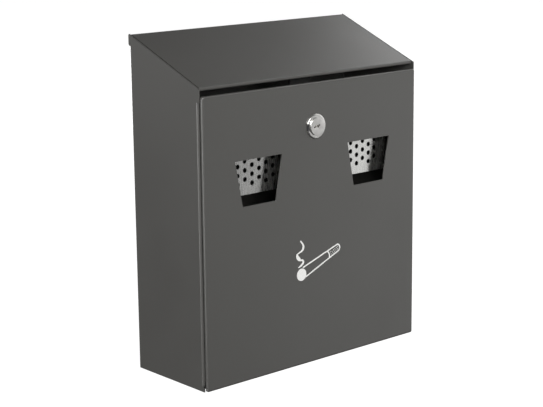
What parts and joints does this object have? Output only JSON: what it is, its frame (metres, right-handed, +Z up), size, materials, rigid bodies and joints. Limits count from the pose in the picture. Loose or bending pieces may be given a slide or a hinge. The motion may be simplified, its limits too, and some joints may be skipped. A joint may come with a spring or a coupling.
{
  "type": "wall-mounted ashtray bin",
  "caption": "Wall-mounted ashtray bin: dark folded-steel box, sloping hood, lockable drop-front door, tapered stub openings over perforated plates, lift-out pan.",
  "frame": {"origin": "middle of the overall box in plan, at the height of the underside that it stands on", "axes": "+Z up, -Y out of the front (the door), +X to the right seen from the front"},
  "size_m": [0.255, 0.1002, 0.2986],
  "materials": {
    "powder_coat": "fine-textured satin powder coat, dark warm grey",
    "stainless_steel": "satin stainless, rolled finish",
    "satin_nickel": "satin nickel plate",
    "galvanised_steel": "galvanised sheet with a faint spangle",
    "zinc_plated_steel": "bright zinc plate",
    "black_oxide_steel": "black oxide, oiled",
    "black_rubber": "matt black rubber",
    "black_plastic": "satin black moulded plastic",
    "white_ink": "screen-printed white ink"
  },
  "bodies": {
    "housing": {"housing_wrap": "powder_coat", "floor_tray": "powder_coat", "hood": "powder_coat", "keeper_plate": "black_oxide_steel", "hinge_bracket_left": "powder_coat", "hinge_bracket_right": "powder_coat", "hinge_pin_left": "zinc_plated_steel", "hinge_pin_right": "zinc_plated_steel", "hinge_pin_clips": "zinc_plated_steel", "door_buffers": "black_rubber", "pan_guide_left": "powder_coat", "pan_guide_right": "powder_coat"},
    "door": {"door_panel": "powder_coat", "hinge_arm_left": "powder_coat", "hinge_arm_right": "powder_coat", "stub_plate_left": "stainless_steel", "stub_plate_right": "stainless_steel", "plate_studs": "zinc_plated_steel", "plate_spacers": "zinc_plated_steel", "plate_nuts": "zinc_plated_steel", "lock_body": "satin_nickel", "notch_insert": "black_plastic", "lock_washer": "zinc_plated_steel", "lock_nut": "zinc_plated_steel", "pictogram": "white_ink"},
    "lock": {"lock_plug": "satin_nickel", "lock_cam": "zinc_plated_steel", "cam_washer": "zinc_plated_steel", "cam_screw": "zinc_plated_steel"},
    "ash_pan": {"ash_pan": "galvanised_steel", "handle_rests": "galvanised_steel"},
    "pan_handle": {"pan_handle": "zinc_plated_steel", "handle_grip": "black_plastic"}
  },
  "joints": [
    {"name": "door_hinge", "type": "hinge", "parent": "housing", "child": "door", "pos_m": [0, -0.04345, 0.006], "axis": [1, 0, 0], "range_deg": [0, 80]},
    {"name": "lock_turn", "type": "hinge", "parent": "door", "child": "lock", "pos_m": [0, -0.04745, 0.2152], "axis": [0, -1, 0], "range_deg": [0, 90]},
    {"name": "pan_lift", "type": "slide", "parent": "housing", "child": "ash_pan", "axis": [0, 0, 1], "range_m": [0, 0.035]},
    {"name": "handle_swing", "type": "hinge", "parent": "ash_pan", "child": "pan_handle", "pos_m": [0, 0.00455, 0.108], "axis": [1, 0, 0], "range_deg": [0, 90]}
  ]
}
